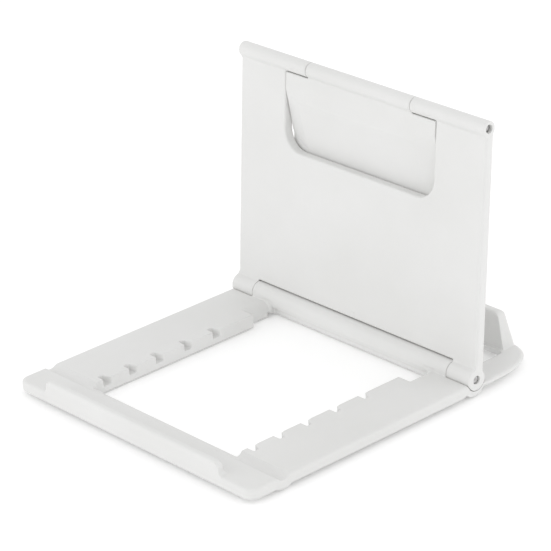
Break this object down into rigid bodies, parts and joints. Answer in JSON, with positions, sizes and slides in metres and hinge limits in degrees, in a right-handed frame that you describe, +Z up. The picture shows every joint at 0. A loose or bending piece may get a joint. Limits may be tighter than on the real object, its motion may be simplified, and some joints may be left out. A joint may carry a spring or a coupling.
{
  "type": "folding tablet stand",
  "caption": "Low folding stand: frame base with notched rails, hinged upright back panel with a window, and a swing-out support leg stowed behind it.",
  "frame": {"origin": "centre of the bounding box in plan, at the level of the rubber feet's soles", "axes": "+X along both hinges, +Y towards the tall rear lip, +Z up"},
  "size_m": [0.12, 0.1362, 0.0978],
  "materials": {
    "base_plastic": "fine matte moulding texture",
    "panel_plastic": "fine matte moulding texture",
    "leg_plastic": "fine matte moulding texture",
    "pin_steel": "plain drawn wire",
    "foot_rubber": "matte"
  },
  "bodies": {
    "base": {"base_frame": "base_plastic", "foot_front_left": "foot_rubber", "foot_front_right": "foot_rubber", "foot_rear_left": "foot_rubber", "foot_rear_right": "foot_rubber"},
    "panel": {"back_panel": "panel_plastic", "lower_hinge_pin_left": "pin_steel", "lower_hinge_pin_right": "pin_steel", "upper_hinge_pin_left": "pin_steel", "upper_hinge_pin_right": "pin_steel"},
    "leg": {"support_leg": "leg_plastic"}
  },
  "joints": [
    {"name": "panel_hinge", "type": "hinge", "parent": "base", "child": "panel", "pos_m": [0, 0.03515, 0.0064], "axis": [1, 0, 0], "range_deg": [0, 95]},
    {"name": "leg_hinge", "type": "hinge", "parent": "panel", "child": "leg", "pos_m": [0, 0.04366, 0.0951], "axis": [1, 0, 0], "range_deg": [0, 338]}
  ]
}
